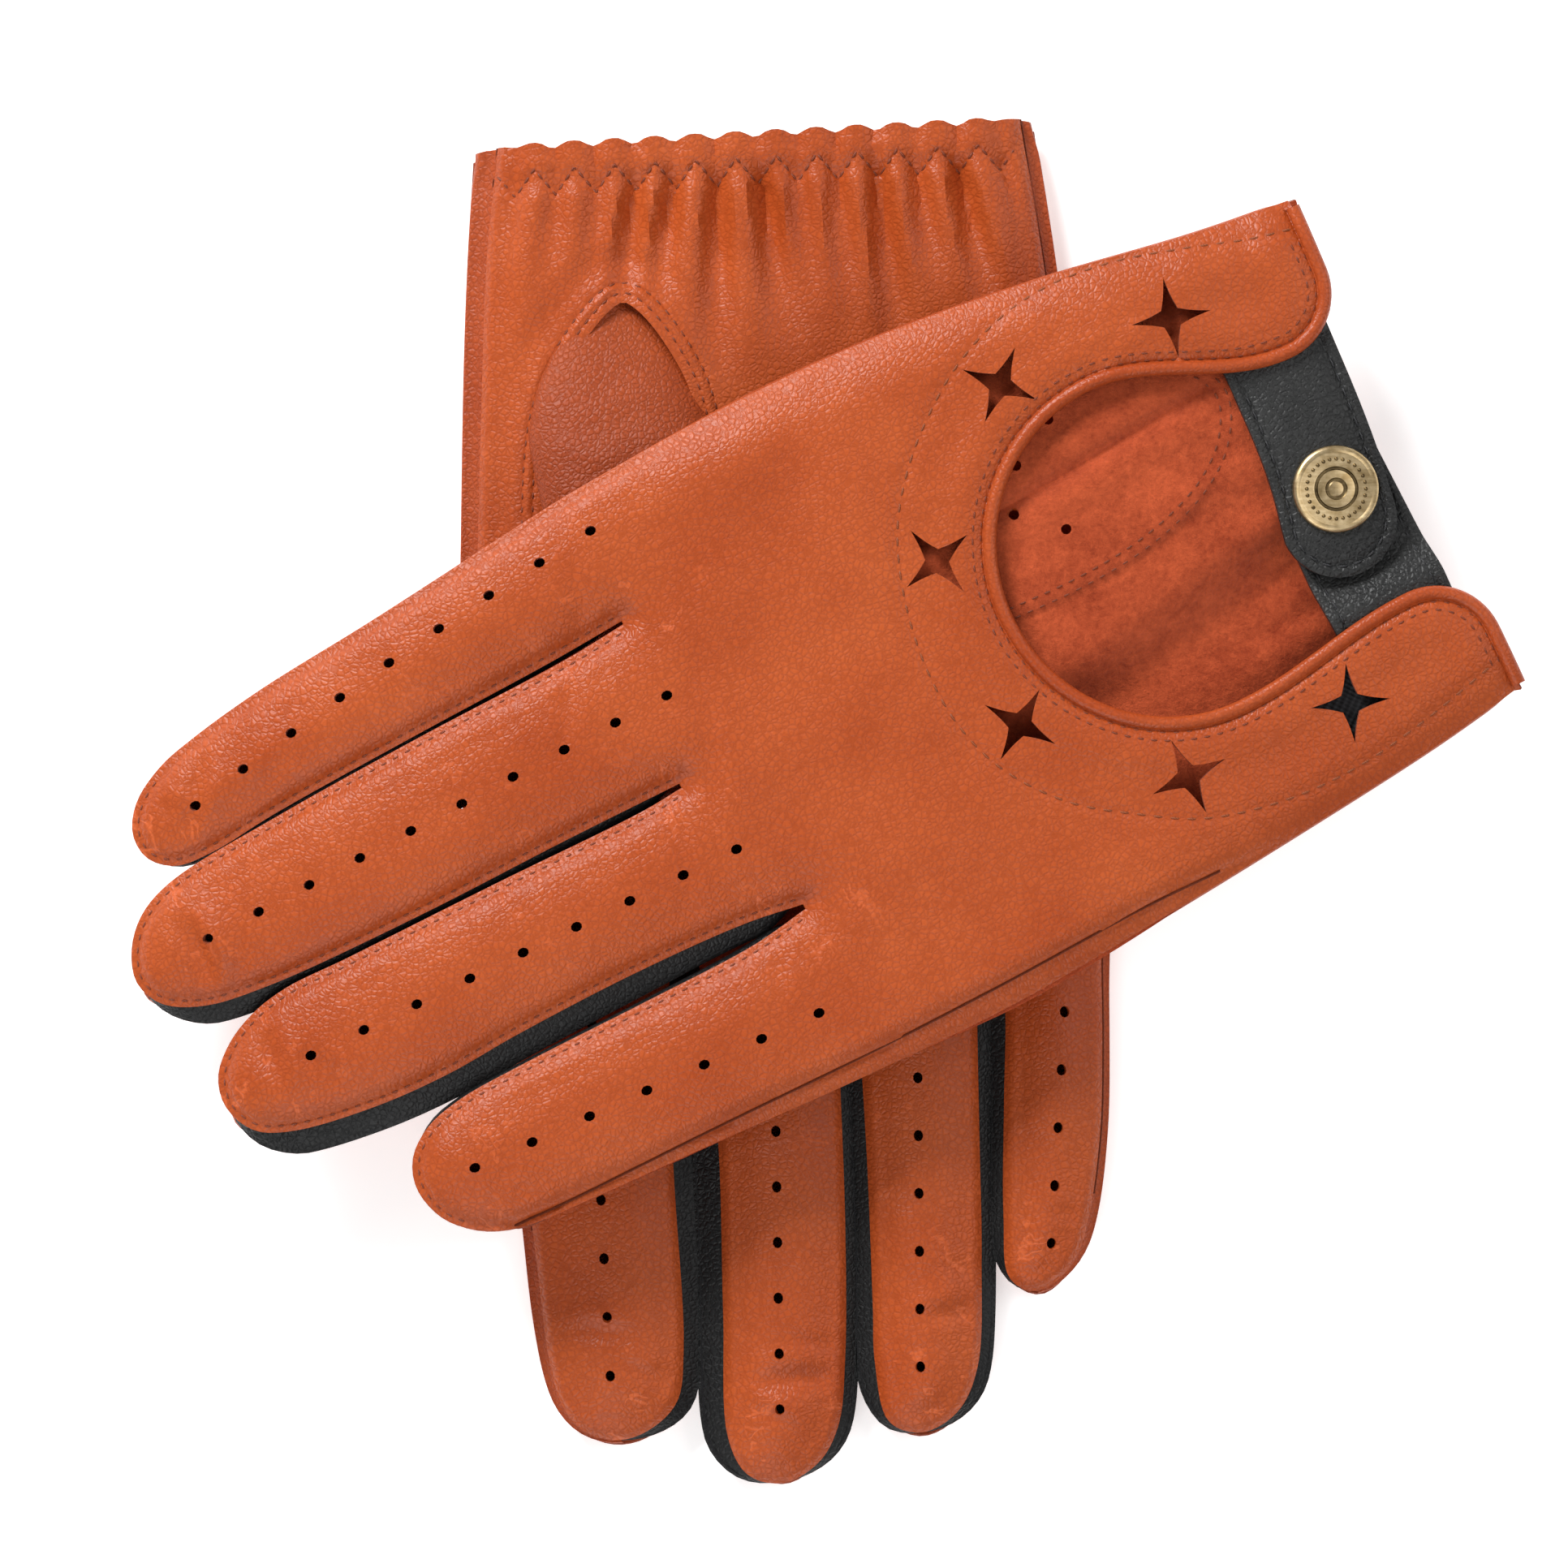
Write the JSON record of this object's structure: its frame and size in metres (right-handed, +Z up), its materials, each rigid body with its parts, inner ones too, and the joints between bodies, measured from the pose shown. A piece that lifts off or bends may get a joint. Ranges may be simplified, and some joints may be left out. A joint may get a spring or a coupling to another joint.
{
  "type": "pair of leather driving gloves",
  "caption": "Pair of unlined tan leather driving gloves with star cut-outs, an open back with a snap strap and dark finger side strips, crossed one over the other.",
  "frame": {"origin": "Centre of the pair's outline on the surface it lies on: x and y at the middle of the bounding box, z at its underside.", "axes": "+Z up from the surface, +Y towards the wrist of the lower right-hand glove, +X towards the wrist of the upper left-hand glove."},
  "size_m": [0.2428, 0.235, 0.0286],
  "materials": {
    "cognac_leather": "satin grain",
    "orange_suede": "matte suede nap",
    "black_leather": "satin grain",
    "black_webbing": "woven",
    "antique_brass": "aged satin"
  },
  "bodies": {
    "right_glove": {"right_back_panel": "cognac_leather", "right_little_side_wrap": "cognac_leather", "right_index_side_wrap": "cognac_leather", "right_cutout_facing": "orange_suede", "right_edge_binding": "cognac_leather", "right_palm_panel": "cognac_leather", "right_fourchette_little": "black_leather", "right_fourchette_ring_outer": "black_leather", "right_fourchette_ring_inner": "black_leather", "right_fourchette_middle_outer": "black_leather", "right_fourchette_middle_inner": "black_leather", "right_fourchette_index": "black_leather", "right_wrist_elastic": "black_webbing", "right_strap_root": "black_leather", "right_stud_tab": "black_leather", "right_anchor_tape": "black_webbing", "right_snap_stud": "antique_brass", "right_snap_post": "antique_brass"},
    "right_strap": {"right_strap_flap": "black_leather", "right_snap_cap": "antique_brass", "right_snap_socket": "antique_brass"},
    "right_thumb": {"right_thumb": "cognac_leather"},
    "left_glove": {"left_back_panel": "cognac_leather", "left_little_side_wrap": "cognac_leather", "left_index_side_wrap": "cognac_leather", "left_cutout_facing": "orange_suede", "left_edge_binding": "cognac_leather", "left_palm_panel": "cognac_leather", "left_fourchette_little": "black_leather", "left_fourchette_ring_outer": "black_leather", "left_fourchette_ring_inner": "black_leather", "left_fourchette_middle_outer": "black_leather", "left_fourchette_middle_inner": "black_leather", "left_fourchette_index": "black_leather", "left_wrist_elastic": "black_webbing", "left_strap_root": "black_leather", "left_stud_tab": "black_leather", "left_anchor_tape": "black_webbing", "left_snap_stud": "antique_brass", "left_snap_post": "antique_brass"},
    "left_strap": {"left_strap_flap": "black_leather", "left_snap_cap": "antique_brass", "left_snap_socket": "antique_brass"},
    "left_thumb": {"left_thumb": "cognac_leather"}
  },
  "joints": [
    {"name": "left_glove_lift", "type": "slide", "parent": "right_glove", "child": "left_glove", "axis": [0, 0, 1], "range_m": [0, 0.04]},
    {"name": "right_strap_open", "type": "hinge", "parent": "right_glove", "child": "right_strap", "pos_m": [-0.03238, 0.09895, 0.0023], "axis": [-0.0558, 0.9984, 0], "range_deg": [0, 100]},
    {"name": "left_strap_open", "type": "hinge", "parent": "left_glove", "child": "left_strap", "pos_m": [0.07784, 0.07361, 0.02328], "axis": [-0.8911, -0.4384, 0.1173], "range_deg": [0, 100]},
    {"name": "right_thumb_swing", "type": "hinge", "parent": "right_glove", "child": "right_thumb", "pos_m": [-0.03446, 0.06819, 0.0103], "axis": [0, 0, -1], "range_deg": [0, 25]},
    {"name": "left_thumb_swing", "type": "hinge", "parent": "left_glove", "child": "left_thumb", "pos_m": [0.04918, 0.06362, 0.0165], "axis": [0, 0, -1], "range_deg": [0, 22]}
  ]
}
